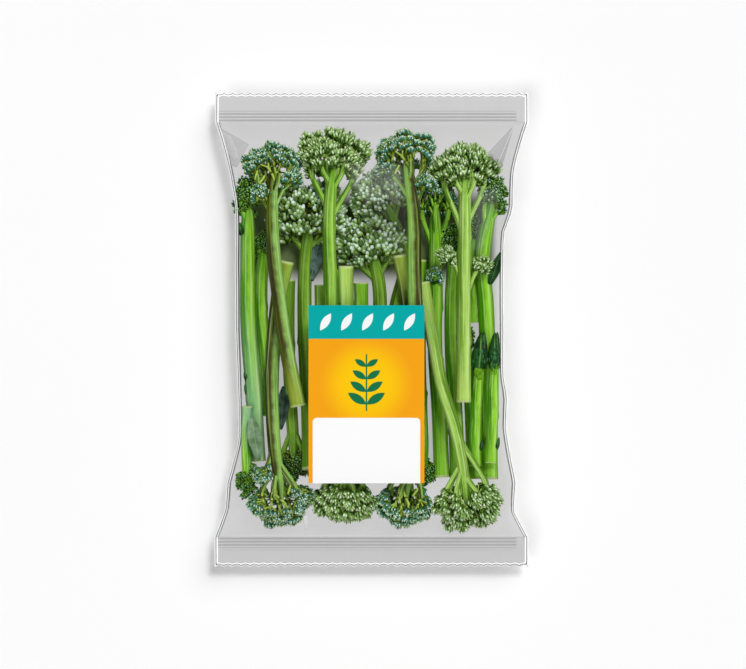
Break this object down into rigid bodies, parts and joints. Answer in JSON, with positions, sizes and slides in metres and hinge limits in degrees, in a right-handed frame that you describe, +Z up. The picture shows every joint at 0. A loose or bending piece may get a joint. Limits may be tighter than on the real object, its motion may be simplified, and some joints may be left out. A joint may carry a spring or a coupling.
{
  "type": "bagged baby broccoli bunch",
  "caption": "Baby broccoli spears packed heads both ways in a clear sealed pillow bag with toothed end seals and a plain coloured label, lying flat.",
  "frame": {"origin": "on the surface under the middle of the lying bag", "axes": "+Y along the bag towards its top seal, +X to the right seen from above, +Z up out of the label"},
  "size_m": [0.186, 0.2848, 0.0435],
  "materials": {
    "film": "clear glossy packing film",
    "label": "semi-gloss printed label, teal and orange with a white field",
    "blue_green_spear": "fresh waxy plant skin, buds blue-green, stalk light green to olive brown",
    "green_spear": "fresh waxy plant skin, buds mid green, stalk pale yellow-green"
  },
  "bodies": {
    "root": {"bag_film": "film", "label": "label", "spear_up_1": "blue_green_spear", "spear_up_3": "blue_green_spear", "spear_down_1": "blue_green_spear", "spear_down_3": "blue_green_spear", "spear_back_4": "blue_green_spear", "spear_back_7": "blue_green_spear", "spear_slim_3": "blue_green_spear", "spear_up_2": "green_spear", "spear_up_4": "green_spear", "spear_down_2": "green_spear", "spear_down_4": "green_spear", "spear_back_1": "green_spear", "spear_back_2": "green_spear", "spear_back_3": "green_spear", "spear_back_5": "green_spear", "spear_back_6": "green_spear", "spear_slim_1": "green_spear", "spear_slim_2": "green_spear", "spear_back_8": "green_spear", "spear_back_9": "green_spear", "spear_back_10": "green_spear", "spear_back_11": "green_spear", "spear_back_12": "green_spear", "spear_back_13": "green_spear", "spear_back_14": "green_spear", "spear_back_15": "green_spear"}
  },
  "joints": []
}
